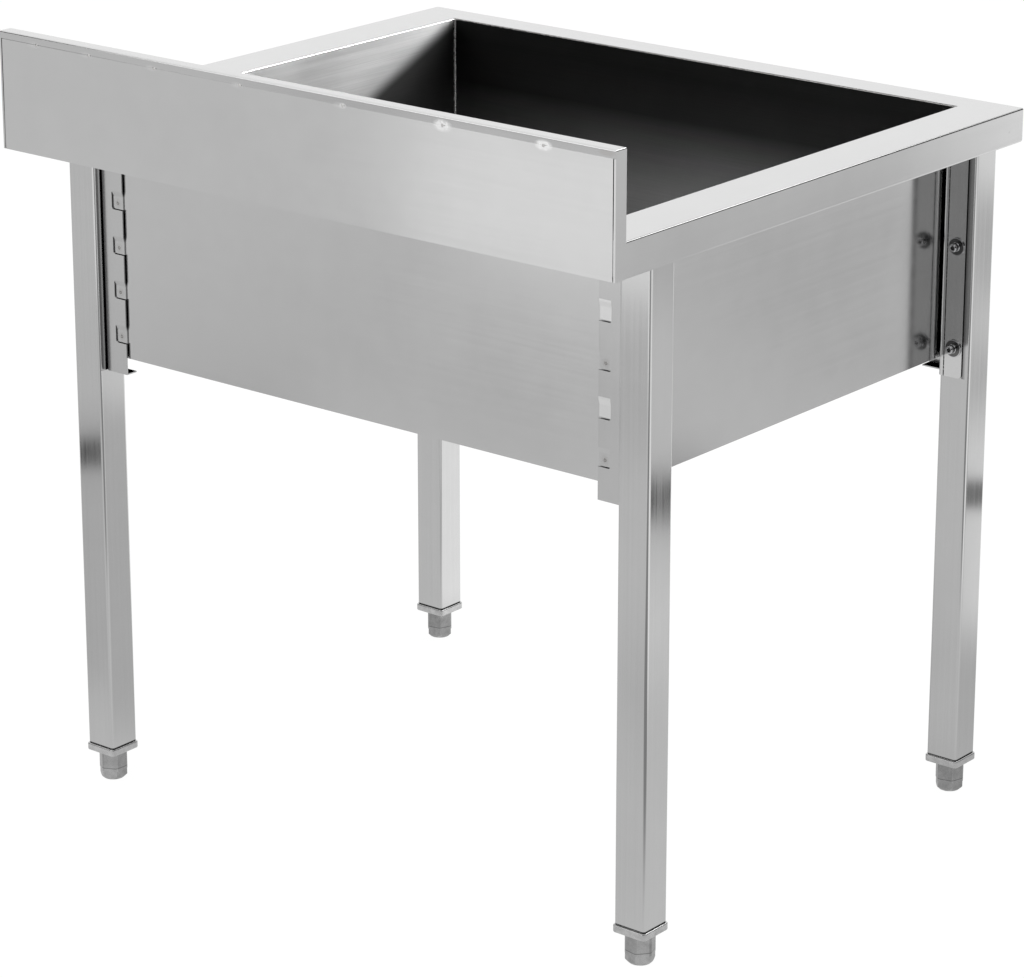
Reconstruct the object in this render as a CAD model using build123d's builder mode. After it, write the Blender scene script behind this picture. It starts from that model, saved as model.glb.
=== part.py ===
from build123d import *
import os

os.makedirs("parts", exist_ok=True)

# A free-standing stainless sink: one deep welded bowl hangs in a folded rim with a back upstand,
# and four square legs are bolted to Z-shaped brackets at the bowl's corners.
# Millimetres. +Z up, +Y to the back (the upstand side), X along the upstand.
# The origin is on the floor, under the middle of the rim.

# ---- overall size ----
width = 900.0
depth = 780.0
rim_height = 855.0
bowl_depth = 300.0

# ---- folded rim, skirt and upstand ----
sheet = 1.2
skirt_height = 40.0
upstand_height = 100.0
upstand_thickness = 18.0
corner_radius = 3.5
bend_radius = 2.0
skirt_hem = 12.0
upstand_hem = 9.0
end_return = 2.5
cover_joggle = 6.5
seam_gap = 0.5
end_gap = 1.2

# ---- legs ----
leg_size = 42.0
leg_wall = 1.5
leg_corner_radius = 3.5
leg_inset_side = 18.0
leg_inset_front = 28.0
leg_inset_back = 85.0

# ---- leg brackets ----
bracket_sheet = 1.5
bracket_bend = 3.0
bracket_drop = 20.0
bracket_top_gap = 5.0
weld_flange = 35.0
weld_flange_setback = 10.2
weld_flange_standoff = 1.8
web_gap = 2.3
bolt_flange = 32.5
bolt_flange_corner = 5.0
bracket_lip = 16.0
tab_count = 5
tab_pitch = 54.5
tab_width = 17.0
tab_height = 22.0
tab_joggle = 6.0
tab_slit = 0.8
tab_corner = 3.0

# ---- leg screws, M6 ----
screw_count = 3
screw_pitch = 125.0
screw_row_rise = 3.0
screw_from_web = 20.5
screw_radius = 3.0
screw_hole_clearance = 0.3
screw_thread_clearance = 0.05
screw_head_radius = 5.0
screw_head_height = 7.2
screw_socket_across = 5.0
screw_socket_depth = 3.0
screw_head_round = 0.6
screw_tip = 1.0
washer_radius = 10.8
washer_thickness = 1.6
spring_washer_radius = 5.6
spring_washer_thickness = 1.6
nut_across = 10.0
nut_height = 5.0

# ---- levelling feet ----
foot_height = 37.0
foot_radius = 17.3
foot_body_across = 31.6
foot_across = 30.0
foot_flat_height = 15.5
foot_flat_drop = 4.0
foot_base_radius = 13.0
foot_chamfer = 4.3
foot_stud_radius = 5.0
foot_stud_length = 45.0
foot_stud_seat = 18.0
foot_stud_bevel = 1.0
foot_stud_seat_clearance = 0.02
foot_stud_clearance = 0.06
foot_turns = {"front_left": 12.5, "front_right": 10.5, "back_left": 49.5, "back_right": 27.5}

# ---- leg plugs ----
plug_overhang = 2.0
plug_flange = 9.0
plug_corner = 5.0
plug_round = 1.5
plug_depth = 26.0
plug_clearance = 0.2
plug_seam = 0.9
plug_seat_step = 0.8
plug_pocket_wall = 3.0
plug_boss_radius = 9.0

# ---- waste fitting ----
floor_fall = 8.0
floor_margin = 8.0
pad_margin = 19.0
recess_margin = 2.0
recess_depth = 3.0
waste_flange_width = 9.0
waste_flange_edge = 1.0
waste_flange_thickness = 2.0
waste_seat_width = 1.5
waste_seat_depth = 3.0
waste_cup_radius = 35.0
waste_cup_wall = 1.5
waste_cup_depth = 24.0
waste_shelf = 2.0
waste_thread_radius = 23.9
waste_thread_length = 42.0
waste_bore_radius = 20.0
waste_hole_clearance = 0.8
upper_seal_thickness = 1.0
lower_seal_thickness = 3.0
seal_margin = 2.0
locknut_wall = 9.0
locknut_height = 10.0
locknut_clearance = 0.1

# ---- lift-out strainer basket ----
basket_wall = 1.0
basket_clearance = 1.2
basket_seat_gap = 0.4
basket_floor_gap = 3.0
basket_hole_radius = 2.0
basket_first_ring = 9.0
basket_ring_pitch = 8.0
basket_ring_margin = 4.0
basket_ring_holes = 6
basket_post_radius = 3.0
basket_knob_radius = 8.0
basket_knob_height = 5.0
basket_knob_top = 8.0
basket_knob_bevel = 1.0

# ---- places worked out from the sizes above ----
half_width = width / 2
half_depth = depth / 2
skirt_bottom = rim_height - skirt_height
under_rim = rim_height - sheet
upstand_top = rim_height + upstand_height

leg_outer_x = half_width - leg_inset_side
leg_inner_x = leg_outer_x - leg_size
leg_face_back = half_depth - leg_inset_back
leg_face_front = -half_depth + leg_inset_front
plug_top = foot_height + plug_flange
leg_bottom = plug_top + plug_seam

bowl_outer_x = leg_inner_x - bracket_sheet - web_gap
bowl_inner_x = bowl_outer_x - sheet
wall_setback = weld_flange_setback + bracket_sheet + weld_flange_standoff
bowl_outer_back = leg_face_back - wall_setback
bowl_outer_front = leg_face_front + wall_setback
bowl_inner_back = bowl_outer_back - sheet
bowl_inner_front = bowl_outer_front + sheet
bowl_length_y = bowl_inner_back - bowl_inner_front
bowl_middle_y = (bowl_inner_back + bowl_inner_front) / 2
floor_top = rim_height - bowl_depth
bowl_bottom = floor_top - sheet

bracket_bottom = bowl_bottom - bracket_drop
bracket_top = rim_height - bracket_top_gap
bracket_middle = (bracket_bottom + bracket_top) / 2
screw_x = leg_inner_x - bracket_sheet + screw_from_web
screw_heights = [
    bracket_middle + screw_row_rise + (i - (screw_count - 1) / 2) * screw_pitch
    for i in range(screw_count)
]
tab_heights = [
    bracket_middle + (i - (tab_count - 1) / 2) * tab_pitch for i in range(tab_count)
]

waste_flange_radius = waste_cup_radius + waste_flange_width
waste_seat_radius = waste_cup_radius + waste_seat_width
recess_radius = waste_flange_radius + recess_margin
seal_outer_radius = waste_flange_radius - seal_margin
pad_size = 2 * (recess_radius + pad_margin)
pad_top = floor_top - floor_fall
recess_top = pad_top - recess_depth
recess_bottom = recess_top - sheet
waste_top = recess_top + upper_seal_thickness + waste_flange_thickness
waste_hole_radius = waste_cup_radius + waste_hole_clearance
waste_middle = (0.0, bowl_middle_y)

# Left and right are as the user sees them from the front, so left is -X.
# Each corner has its side along X, its side along Y and its leg's outer Y face.
corners = {
    "front_left": (-1, -1, leg_face_front),
    "front_right": (1, -1, leg_face_front),
    "back_left": (-1, 1, leg_face_back),
    "back_right": (1, 1, leg_face_back),
}


def write(builder, label):
    """Label a finished piece and write it to its own file."""
    builder.part.label = label
    export_step(builder.part, f"parts/{label}.step")


def rim_block(inset, bottom, radius):
    """The rim and upstand as one solid block, taken in by inset, with rounded folds."""
    x = 2 * (half_width - inset)
    y = 2 * (half_depth - inset)
    strip = upstand_thickness - 2 * inset
    with BuildPart() as slab:
        with BuildSketch(Plane.XY.offset(bottom)):
            Rectangle(x, y)
        extrude(amount=rim_height - inset - bottom)
        fillet(slab.edges().filter_by(Axis.Z).group_by(Axis.Y)[0], corner_radius - inset)
        folds = slab.edges().group_by(Axis.Z)[-1]
        if inset == 0:
            folds = folds + slab.edges().group_by(Axis.Z)[0]
        fillet(folds.filter_by(lambda e: e.center().Y < half_depth - inset - radius), radius)
    with BuildPart() as wall:
        with BuildSketch(Plane.XY.offset(bottom)):
            with Locations((0, half_depth - upstand_thickness / 2)):
                Rectangle(x, strip)
        extrude(amount=upstand_top - inset - bottom)
        fillet(wall.edges().group_by(Axis.Z)[-1], radius)
    with BuildPart() as block:
        add(slab.part)
        add(wall.part)
    return block.part


# ---- rim: top plate, front and side skirts, upstand with its hem, all one folded sheet ----
with BuildPart() as rim_top:
    add(rim_block(0, skirt_bottom, bend_radius))
    add(rim_block(sheet, skirt_bottom - sheet, bend_radius - sheet), mode=Mode.SUBTRACT)
    # open back below the hem, where the cover sheet goes
    with BuildSketch(Plane.XY.offset(skirt_bottom - sheet)):
        with Locations((0, half_depth)):
            Rectangle(width - 2 * end_return, 4 * sheet)
    extrude(amount=upstand_top - upstand_hem - skirt_bottom + sheet, mode=Mode.SUBTRACT)
    # hems turned in under the front and side skirts
    hem_x = half_width - sheet / 2
    hem_front = -half_depth + sheet / 2
    hem_back = half_depth - upstand_thickness
    hem_in = skirt_hem + sheet / 2
    with BuildSketch(Plane.XY.offset(skirt_bottom)):
        with BuildLine():
            Polyline(
                (-hem_x, hem_back),
                (-hem_x, hem_front + corner_radius),
                (-hem_x + corner_radius, hem_front),
                (hem_x - corner_radius, hem_front),
                (hem_x, hem_front + corner_radius),
                (hem_x, hem_back),
                (hem_x - hem_in, hem_back),
                (hem_x - hem_in, hem_front + hem_in),
                (-hem_x + hem_in, hem_front + hem_in),
                (-hem_x + hem_in, hem_back),
                close=True,
            )
        make_face()
    extrude(amount=sheet)
    # the bowl's mouth
    with BuildSketch(Plane.XY.offset(under_rim - sheet)):
        with Locations(waste_middle):
            Rectangle(2 * bowl_inner_x, bowl_length_y)
    extrude(amount=4 * sheet, mode=Mode.SUBTRACT)
write(rim_top, "rim_top")

# ---- sheet that closes the back of the upstand and rim, tucked up behind the hem ----
cover_half_x = half_width - end_return - end_gap
cover_top = upstand_top - upstand_hem - seam_gap
with BuildPart() as upstand_cover:
    with BuildSketch(Plane.YZ.offset(-cover_half_x)):
        with BuildLine():
            Polyline(
                (half_depth, skirt_bottom),
                (half_depth, cover_top),
                (half_depth - sheet, cover_top),
                (half_depth - sheet, cover_top + cover_joggle),
                (half_depth - 2 * sheet, cover_top + cover_joggle),
                (half_depth - 2 * sheet, cover_top - cover_joggle),
                (half_depth - sheet, cover_top - cover_joggle),
                (half_depth - sheet, skirt_bottom + sheet),
                (half_depth - sheet - skirt_hem, skirt_bottom + sheet),
                (half_depth - sheet - skirt_hem, skirt_bottom),
                close=True,
            )
        make_face()
    extrude(amount=2 * cover_half_x)
write(upstand_cover, "upstand_cover")

# ---- bowl: four flat walls and a floor, welded along their edges ----
for name, outer_y, side in (
    ("bowl_front_wall", bowl_outer_front, 1),
    ("bowl_back_wall", bowl_outer_back, -1),
):
    with BuildPart() as wall:
        with BuildSketch(Plane.XY.offset(bowl_bottom)):
            with Locations((0, outer_y + side * sheet / 2)):
                Rectangle(2 * bowl_inner_x, sheet)
        extrude(amount=under_rim - bowl_bottom)
    write(wall, name)

for name, side in (("bowl_left_wall", -1), ("bowl_right_wall", 1)):
    with BuildPart() as wall:
        with BuildSketch(Plane.XY.offset(bowl_bottom)):
            with Locations((side * (bowl_inner_x + sheet / 2), bowl_middle_y)):
                Rectangle(sheet, bowl_length_y + 2 * sheet)
        extrude(amount=under_rim - bowl_bottom)
    write(wall, name)


def floor_funnel(top):
    """A shallow four-sided funnel that falls from just inside the walls to the drain pad."""
    with BuildPart() as funnel:
        with BuildSketch(Plane.XY.offset(top)):
            with Locations(waste_middle):
                Rectangle(2 * (bowl_inner_x - floor_margin), bowl_length_y - 2 * floor_margin)
        with BuildSketch(Plane.XY.offset(top - floor_fall)):
            with Locations(waste_middle):
                Rectangle(pad_size, pad_size)
        loft(ruled=True)
    return funnel.part


with BuildPart() as bowl_floor:
    with BuildSketch(Plane.XY.offset(bowl_bottom)):
        with Locations(waste_middle):
            Rectangle(2 * bowl_inner_x, bowl_length_y)
    extrude(amount=sheet)
    add(floor_funnel(bowl_bottom))
    add(floor_funnel(floor_top), mode=Mode.SUBTRACT)
    # round dish for the waste flange, with its hole
    with BuildSketch(Plane.XY.offset(recess_bottom)):
        with Locations(waste_middle):
            Circle(recess_radius + sheet)
    extrude(amount=pad_top - recess_bottom)
    with BuildSketch(Plane.XY.offset(recess_top)):
        with Locations(waste_middle):
            Circle(recess_radius)
    extrude(amount=floor_top - recess_top, mode=Mode.SUBTRACT)
    with BuildSketch(Plane.XY.offset(recess_bottom)):
        with Locations(waste_middle):
            Circle(waste_hole_radius)
    extrude(amount=floor_top - recess_bottom, mode=Mode.SUBTRACT)
write(bowl_floor, "bowl_floor")


def turned(points):
    """A piece turned about the drain's axis, from its outline in radius and height."""
    with BuildPart() as piece:
        with BuildSketch(Plane(origin=(*waste_middle, 0), x_dir=(1, 0, 0), z_dir=(0, -1, 0))):
            with BuildLine():
                Polyline(*points, close=True)
            make_face()
        revolve(axis=Axis((*waste_middle, 0), (0, 0, 1)))
    return piece


def ring(inner, outer, bottom, height):
    """A flat ring round the drain's axis."""
    with BuildPart() as piece:
        with BuildSketch(Plane.XY.offset(bottom)):
            with Locations(waste_middle):
                Circle(outer)
                Circle(inner, mode=Mode.SUBTRACT)
        extrude(amount=height)
    return piece


# ---- waste: flanged cup and threaded tail, its two seals and its nut ----
cup_inner = waste_cup_radius - waste_cup_wall
shelf_top = waste_top - waste_cup_depth + waste_shelf
tail_bottom = waste_top - waste_cup_depth - waste_thread_length
waste_body = turned(
    [
        (waste_seat_radius, waste_top),
        (waste_flange_radius, waste_top - waste_flange_edge),
        (waste_flange_radius, waste_top - waste_flange_thickness),
        (waste_cup_radius, waste_top - waste_flange_thickness),
        (waste_cup_radius, waste_top - waste_cup_depth),
        (waste_thread_radius, waste_top - waste_cup_depth),
        (waste_thread_radius, tail_bottom),
        (waste_bore_radius, tail_bottom),
        (waste_bore_radius, shelf_top),
        (cup_inner, shelf_top),
        (cup_inner, waste_top - waste_seat_depth),
    ]
)
write(waste_body, "waste_body")
write(
    ring(waste_hole_radius, seal_outer_radius, recess_top, upper_seal_thickness),
    "waste_upper_seal",
)
seal_bottom = recess_bottom - lower_seal_thickness
write(
    ring(waste_hole_radius, seal_outer_radius, seal_bottom, lower_seal_thickness),
    "waste_lower_seal",
)
with BuildPart() as waste_locknut:
    with BuildSketch(Plane.XY.offset(seal_bottom - locknut_height)):
        with Locations(waste_middle):
            RegularPolygon(waste_cup_radius + locknut_wall, 6, major_radius=False)
            Circle(waste_cup_radius + locknut_clearance, mode=Mode.SUBTRACT)
    extrude(amount=locknut_height)
write(waste_locknut, "waste_locknut")

# ---- strainer basket: coned lip, perforated cup, and a post with a knob to lift it by ----
basket_outer = cup_inner - basket_clearance
basket_inner = basket_outer - basket_wall
basket_bottom = shelf_top + basket_floor_gap
ring_room = basket_inner - basket_ring_margin - basket_first_ring
basket_rings = 1 + int(ring_room / basket_ring_pitch)
lip_foot = waste_top - waste_seat_depth + basket_seat_gap
lip_top = waste_top + basket_seat_gap
knob_top = waste_top + basket_knob_top
basket_blank = turned(
    [
        (0, basket_bottom),
        (basket_outer, basket_bottom),
        (basket_outer, lip_foot),
        (waste_seat_radius - basket_seat_gap, lip_top),
        (waste_seat_radius - basket_seat_gap - basket_wall, lip_top + basket_wall / 2),
        (basket_inner, lip_foot + basket_wall / 2),
        (basket_inner, basket_bottom + basket_wall),
        (basket_post_radius, basket_bottom + basket_wall),
        (basket_post_radius, knob_top - basket_knob_height),
        (basket_knob_radius, knob_top - basket_knob_height / 2),
        (basket_knob_radius - basket_knob_bevel, knob_top),
        (0, knob_top),
    ]
)
with BuildPart() as strainer_basket:
    add(basket_blank.part)
    with BuildSketch(Plane.XY.offset(basket_bottom)):
        with Locations(waste_middle):
            for i in range(basket_rings):
                ring_radius = basket_first_ring + i * basket_ring_pitch
                with PolarLocations(ring_radius, (i + 1) * basket_ring_holes):
                    Circle(basket_hole_radius)
    extrude(amount=basket_wall, mode=Mode.SUBTRACT)
write(strainer_basket, "strainer_basket")

# ---- legs: square tube, drilled in the inner Y face ----
for corner, (sx, sy, face_y) in corners.items():
    inner_y = face_y - sy * leg_size
    with BuildPart() as leg:
        with BuildSketch(Plane.XY.offset(leg_bottom)):
            with Locations((sx * (leg_outer_x - leg_size / 2), face_y - sy * leg_size / 2)):
                RectangleRounded(leg_size, leg_size, leg_corner_radius)
                RectangleRounded(
                    leg_size - 2 * leg_wall,
                    leg_size - 2 * leg_wall,
                    leg_corner_radius - leg_wall,
                    mode=Mode.SUBTRACT,
                )
        extrude(amount=under_rim - leg_bottom)
        with BuildSketch(Plane(origin=(0, inner_y, 0), x_dir=(1, 0, 0), z_dir=(0, -1, 0))):
            with Locations(*[(sx * screw_x, z) for z in screw_heights]):
                Circle(screw_radius + screw_hole_clearance)
        extrude(amount=2 * leg_wall, both=True, mode=Mode.SUBTRACT)
    write(leg, f"leg_{corner}")

# ---- brackets: welded flange with pressed tabs, web, bolt flange and bottom lip ----
for corner, (sx, sy, face_y) in corners.items():
    web_out = leg_inner_x
    web_in = leg_inner_x - bracket_sheet
    flange_edge = web_out - weld_flange
    bolt_edge = web_in + bolt_flange
    outer_bend = bracket_bend + bracket_sheet

    def at(x, back):
        """A plan point at distance x from the middle, and back from the leg's outer face."""
        return (sx * x, face_y - sy * back)

    near_back = weld_flange_setback
    far_back = leg_size + bracket_sheet
    with BuildPart() as bracket:
        with BuildSketch(Plane.XY.offset(bracket_bottom)) as plan:
            with BuildLine():
                Polyline(
                    at(flange_edge, near_back),
                    at(web_out, near_back),
                    at(web_out, leg_size),
                    at(bolt_edge, leg_size),
                    at(bolt_edge, far_back),
                    at(web_in, far_back),
                    at(web_in, near_back + bracket_sheet),
                    at(flange_edge, near_back + bracket_sheet),
                    close=True,
                )
            make_face()
            for (x, y), radius in (
                (at(web_out, near_back), outer_bend),
                (at(web_in, far_back), outer_bend),
                (at(web_in, near_back + bracket_sheet), bracket_bend),
                (at(web_out, leg_size), bracket_bend),
            ):
                fillet(plan.vertices().sort_by_distance((x, y, bracket_bottom))[0], radius)
        extrude(amount=bracket_top - bracket_bottom)
        # bolt flange: rounded free corners, and holes for the screws
        fillet(
            bracket.edges()
            .filter_by(Axis.Y)
            .filter_by(lambda e: abs(abs(e.center().X) - bolt_edge) < bracket_sheet / 2),
            bolt_flange_corner,
        )
        inner_face = (0, face_y - sy * far_back, 0)
        with BuildSketch(Plane(origin=inner_face, x_dir=(1, 0, 0), z_dir=(0, -1, 0))):
            with Locations(*[(sx * screw_x, z) for z in screw_heights]):
                Circle(screw_radius + screw_hole_clearance)
        extrude(amount=2 * bracket_sheet, both=True, mode=Mode.SUBTRACT)
        # lip turned in under the bowl at the foot of the welded flange
        with BuildSketch(Plane.XY.offset(bracket_bottom)):
            with BuildLine():
                Polyline(
                    at(flange_edge, near_back),
                    at(web_out - outer_bend, near_back),
                    at(web_in, near_back + outer_bend),
                    at(web_in, near_back + bracket_lip),
                    at(flange_edge, near_back + bracket_lip),
                    close=True,
                )
            make_face()
        extrude(amount=bracket_sheet)
        # tabs cut from the free edge and pressed back onto the bowl's wall
        outer_face = face_y - sy * near_back
        pressed_face = outer_face - sy * weld_flange_standoff
        cut_width = tab_width + bracket_sheet
        cut_x = sx * (flange_edge + tab_width - cut_width / 2)
        for tab_z in tab_heights:
            with BuildSketch(
                Plane(origin=(cut_x, outer_face, tab_z), x_dir=(1, 0, 0), z_dir=(0, -1, 0))
            ) as window:
                Rectangle(cut_width, tab_height)
                fillet(window.vertices().group_by(Axis.X)[0 if sx < 0 else -1], tab_corner)
            extrude(amount=2 * bracket_sheet, both=True, mode=Mode.SUBTRACT)
            tab_top = tab_z + tab_height / 2
            tab_end = tab_z - tab_height / 2 + tab_slit
            with BuildSketch(Plane.YZ.offset(sx * flange_edge)):
                with BuildLine():
                    Polyline(
                        (outer_face, tab_top),
                        (outer_face - sy * bracket_sheet, tab_top),
                        (pressed_face - sy * bracket_sheet, tab_top - tab_joggle),
                        (pressed_face - sy * bracket_sheet, tab_end),
                        (pressed_face, tab_end),
                        (pressed_face, tab_top - tab_joggle),
                        close=True,
                    )
                make_face()
            extrude(amount=sx * (tab_width - tab_slit))
    write(bracket, f"bracket_{corner}")

# ---- one screw, washer, spring washer and nut, standing on the bolt flange, head up ----
with BuildPart() as screw:
    shank = washer_thickness + spring_washer_thickness
    tip = -(bracket_sheet + leg_wall + nut_height + screw_tip)
    with BuildSketch(Plane.XY.offset(tip)):
        Circle(screw_radius)
    extrude(amount=shank - tip)
    with BuildSketch(Plane.XY.offset(shank)):
        Circle(screw_head_radius)
    extrude(amount=screw_head_height)
    fillet(screw.edges().filter_by(GeomType.CIRCLE).group_by(Axis.Z)[-1], screw_head_round)
    with BuildSketch(Plane.XY.offset(shank + screw_head_height - screw_socket_depth)):
        RegularPolygon(screw_socket_across / 2, 6, major_radius=False)
    extrude(amount=screw_socket_depth, mode=Mode.SUBTRACT)

with BuildPart() as washer:
    with BuildSketch():
        Circle(washer_radius)
        Circle(screw_radius + screw_hole_clearance, mode=Mode.SUBTRACT)
    extrude(amount=washer_thickness)

with BuildPart() as spring_washer:
    with BuildSketch(Plane.XY.offset(washer_thickness)):
        Circle(spring_washer_radius)
        Circle(screw_radius + screw_thread_clearance, mode=Mode.SUBTRACT)
    extrude(amount=spring_washer_thickness)

with BuildPart() as nut:
    with BuildSketch(Plane.XY.offset(-(bracket_sheet + leg_wall + nut_height))):
        RegularPolygon(nut_across / 2, 6, major_radius=False)
        Circle(screw_radius + screw_thread_clearance, mode=Mode.SUBTRACT)
    extrude(amount=nut_height)

screw_places = [
    Plane(
        origin=(sx * screw_x, face_y - sy * (leg_size + bracket_sheet), z),
        x_dir=(1, 0, 0),
        z_dir=(0, -sy, 0),
    )
    for sx, sy, face_y in corners.values()
    for z in screw_heights
]
for label, fastener in (
    ("leg_screws", screw),
    ("leg_washers", washer),
    ("leg_spring_washers", spring_washer),
    ("leg_weld_nuts", nut),
):
    with BuildPart() as group:
        with Locations(*screw_places):
            add(fastener.part)
    write(group, label)

# ---- leg plugs: flange under the tube, hollow spigot inside it, threaded boss for the foot ----
spigot_half = leg_size / 2 - leg_wall - plug_clearance
flat_edge_slope = foot_flat_drop / (foot_radius - foot_across / 2)
flat_edge_height = foot_flat_height - flat_edge_slope * (
    foot_radius + foot_flat_drop - foot_across / 2
)
bore_radius = foot_stud_radius + foot_stud_clearance
for corner, (sx, sy, face_y) in corners.items():
    middle = (sx * (leg_outer_x - leg_size / 2), face_y - sy * leg_size / 2)
    flange_size = leg_size + 2 * plug_overhang
    seat_size = leg_size - 2 * plug_seat_step
    spigot_corner = leg_corner_radius - leg_wall
    with BuildPart() as plug:
        with BuildSketch(Plane.XY.offset(foot_height)):
            with Locations(middle):
                RectangleRounded(flange_size, flange_size, plug_corner)
        extrude(amount=plug_flange)
        fillet(plug.edges().group_by(Axis.Z)[-1] + plug.edges().group_by(Axis.Z)[0], plug_round)
        with BuildSketch(Plane.XY.offset(plug_top)):
            with Locations(middle):
                RectangleRounded(seat_size, seat_size, leg_corner_radius - plug_seat_step)
        extrude(amount=plug_seam)
        with BuildSketch(Plane.XY.offset(leg_bottom)):
            with Locations(middle):
                RectangleRounded(2 * spigot_half, 2 * spigot_half, spigot_corner)
        extrude(amount=plug_depth)
        with BuildSketch(Plane.XY.offset(leg_bottom)):
            with Locations(middle):
                Rectangle(2 * (spigot_half - plug_pocket_wall), 2 * (spigot_half - plug_pocket_wall))
                Circle(plug_boss_radius, mode=Mode.SUBTRACT)
        extrude(amount=plug_depth, mode=Mode.SUBTRACT)
        with BuildSketch(Plane.XY.offset(foot_height)):
            with Locations(middle):
                Circle(bore_radius)
        extrude(amount=plug_flange + plug_seam + plug_depth, mode=Mode.SUBTRACT)
    write(plug, f"plug_{corner}")

    # ---- foot: six-sided body with turned corners, deeper flats round its lower part, coned base ----
    upright = Plane(origin=(*middle, 0), x_dir=(1, 0, 0), z_dir=(0, -1, 0))
    foot_axis = Axis((*middle, 0), (0, 0, 1))
    with BuildPart() as cut_away:
        with BuildSketch(upright):
            with BuildLine():
                Polyline(
                    (0, 0),
                    (foot_radius + foot_flat_drop, 0),
                    (foot_radius + foot_flat_drop, flat_edge_height),
                    (foot_across / 2, foot_flat_height),
                    (0, foot_flat_height),
                    close=True,
                )
            make_face()
        revolve(axis=foot_axis)
        with BuildSketch():
            with Locations(middle):
                RegularPolygon(
                    foot_across / 2, 6, major_radius=False, rotation=foot_turns[corner]
                )
        extrude(amount=foot_height, mode=Mode.SUBTRACT)
    with BuildPart() as foot:
        with BuildSketch(upright):
            with BuildLine():
                Polyline(
                    (0, 0),
                    (foot_base_radius, 0),
                    (foot_radius, foot_chamfer),
                    (foot_radius, foot_height),
                    (0, foot_height),
                    close=True,
                )
            make_face()
        revolve(axis=foot_axis)
        with BuildSketch():
            with Locations(middle):
                RegularPolygon(
                    foot_body_across / 2, 6, major_radius=False, rotation=foot_turns[corner]
                )
        extrude(amount=foot_height, mode=Mode.INTERSECT)
        add(cut_away.part, mode=Mode.SUBTRACT)
        with BuildSketch(Plane.XY.offset(foot_height - foot_stud_seat)):
            with Locations(middle):
                Circle(foot_stud_radius + foot_stud_seat_clearance)
        extrude(amount=foot_stud_seat, mode=Mode.SUBTRACT)
    write(foot, f"foot_{corner}")

    with BuildPart() as stud:
        with BuildSketch(Plane.XY.offset(foot_height - foot_stud_seat)):
            with Locations(middle):
                Circle(foot_stud_radius)
        extrude(amount=foot_stud_seat + foot_stud_length)
        chamfer(stud.edges().filter_by(GeomType.CIRCLE).group_by(Axis.Z)[-1], foot_stud_bevel)
    write(stud, f"foot_stud_{corner}")
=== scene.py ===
import math

import bmesh
import bpy
import numpy as np
from bpy.props import FloatProperty, FloatVectorProperty, IntProperty, PointerProperty
from bpy.types import Operator, Panel, PropertyGroup
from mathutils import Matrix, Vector


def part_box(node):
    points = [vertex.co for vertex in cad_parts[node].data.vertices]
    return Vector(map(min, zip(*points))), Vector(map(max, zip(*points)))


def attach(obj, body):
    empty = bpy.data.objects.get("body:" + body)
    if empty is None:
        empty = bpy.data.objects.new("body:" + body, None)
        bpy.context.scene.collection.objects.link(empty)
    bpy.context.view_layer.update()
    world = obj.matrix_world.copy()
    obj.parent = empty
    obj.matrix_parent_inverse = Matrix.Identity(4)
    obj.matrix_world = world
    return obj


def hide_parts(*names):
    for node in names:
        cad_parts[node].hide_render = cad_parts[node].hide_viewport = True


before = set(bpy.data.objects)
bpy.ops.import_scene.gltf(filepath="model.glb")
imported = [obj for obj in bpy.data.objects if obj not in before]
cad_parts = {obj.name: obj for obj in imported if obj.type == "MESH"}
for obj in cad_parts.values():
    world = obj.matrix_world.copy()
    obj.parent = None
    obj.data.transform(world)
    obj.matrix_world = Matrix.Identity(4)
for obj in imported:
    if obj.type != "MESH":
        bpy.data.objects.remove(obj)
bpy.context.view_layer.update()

bl_info = {
    "name": "Stainless sink on legs",
    "version": (1, 0, 0),
    "blender": (4, 5, 0),
    "location": "3D View > Sidebar > Sink",
    "description": "Steel finishes, welds, screws, threads and a studio for a free-standing sink",
    "category": "Object",
}

CORNERS = ("front_left", "front_right", "back_left", "back_right")
NOISE = (0.3, 0.7)  # what a noise pattern mostly lies between

# sizes of the sheet work that no box gives, as the CAD has them
SEAM_DROP = 0.0067  # from the cover's top, tucked up behind the upstand's hem, down to the seam
BRACKET_SHEET = 0.0015
WELD_FLANGE = 0.035  # width of the bracket's flange that is welded to the bowl
FLANGE_SETBACK = 0.0102  # from a leg's outer face in to that flange
TAB_DEPTH = 0.0018  # how far the flange's tabs are pressed in to the bowl
TAB_WIDTH = 0.017
TAB_PITCH = 0.0545
SCREW_PITCH = 0.125
# tacks along the upstand's back seam; the last three had bright patches ground round them
TACKS = (0.390, 0.3056, 0.2025, 0.072, -0.0787, -0.2192, -0.3554)

# boards on the floor round the sink, seen only in the steel, each over those before it: middle x and y,
# half length and half width, turn in degrees, softness of the edge, brightness. Each lies where a face
# of the steel, seen from the camera, mirrors the floor.
BOARDS = (
    (-0.46, -3.47, 3.00, 1.69, 236.2, 0.12, 1.04),
    (-2.40, 0.15, 1.30, 0.75, 0.0, 0.25, 1.05),
    (-2.14, 2.64, 2.60, 0.75, 129.0, 0.20, 0.30),
    (-1.94, -2.32, 0.42, 0.50, 0.0, 0.22, 0.58),
    (-1.42, -1.78, 0.25, 0.22, 0.0, 0.20, 0.57),
    (-0.22, -0.31, 0.70, 0.20, 45.0, 0.15, 0.57),
    (1.05, 0.95, 0.60, 0.16, 51.0, 0.15, 0.59),
    (1.15, 2.05, 0.60, 0.40, 0.0, 0.30, 0.60),
    (-1.379, -0.972, 0.16, 0.09, -34.4, 0.03, 0.0),
    (-1.033, -1.291, 0.16, 0.065, -34.4, 0.03, 0.20),
    (1.335, 1.203, 0.28, 0.07, 134.6, 0.03, 0.10),
)


# ---- settings: the sizes and colours a user would change ----


def length(name, description, default):
    """A size in metres."""
    return FloatProperty(
        name=name, description=description, default=default, min=0.0, precision=5, unit="LENGTH"
    )


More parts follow.
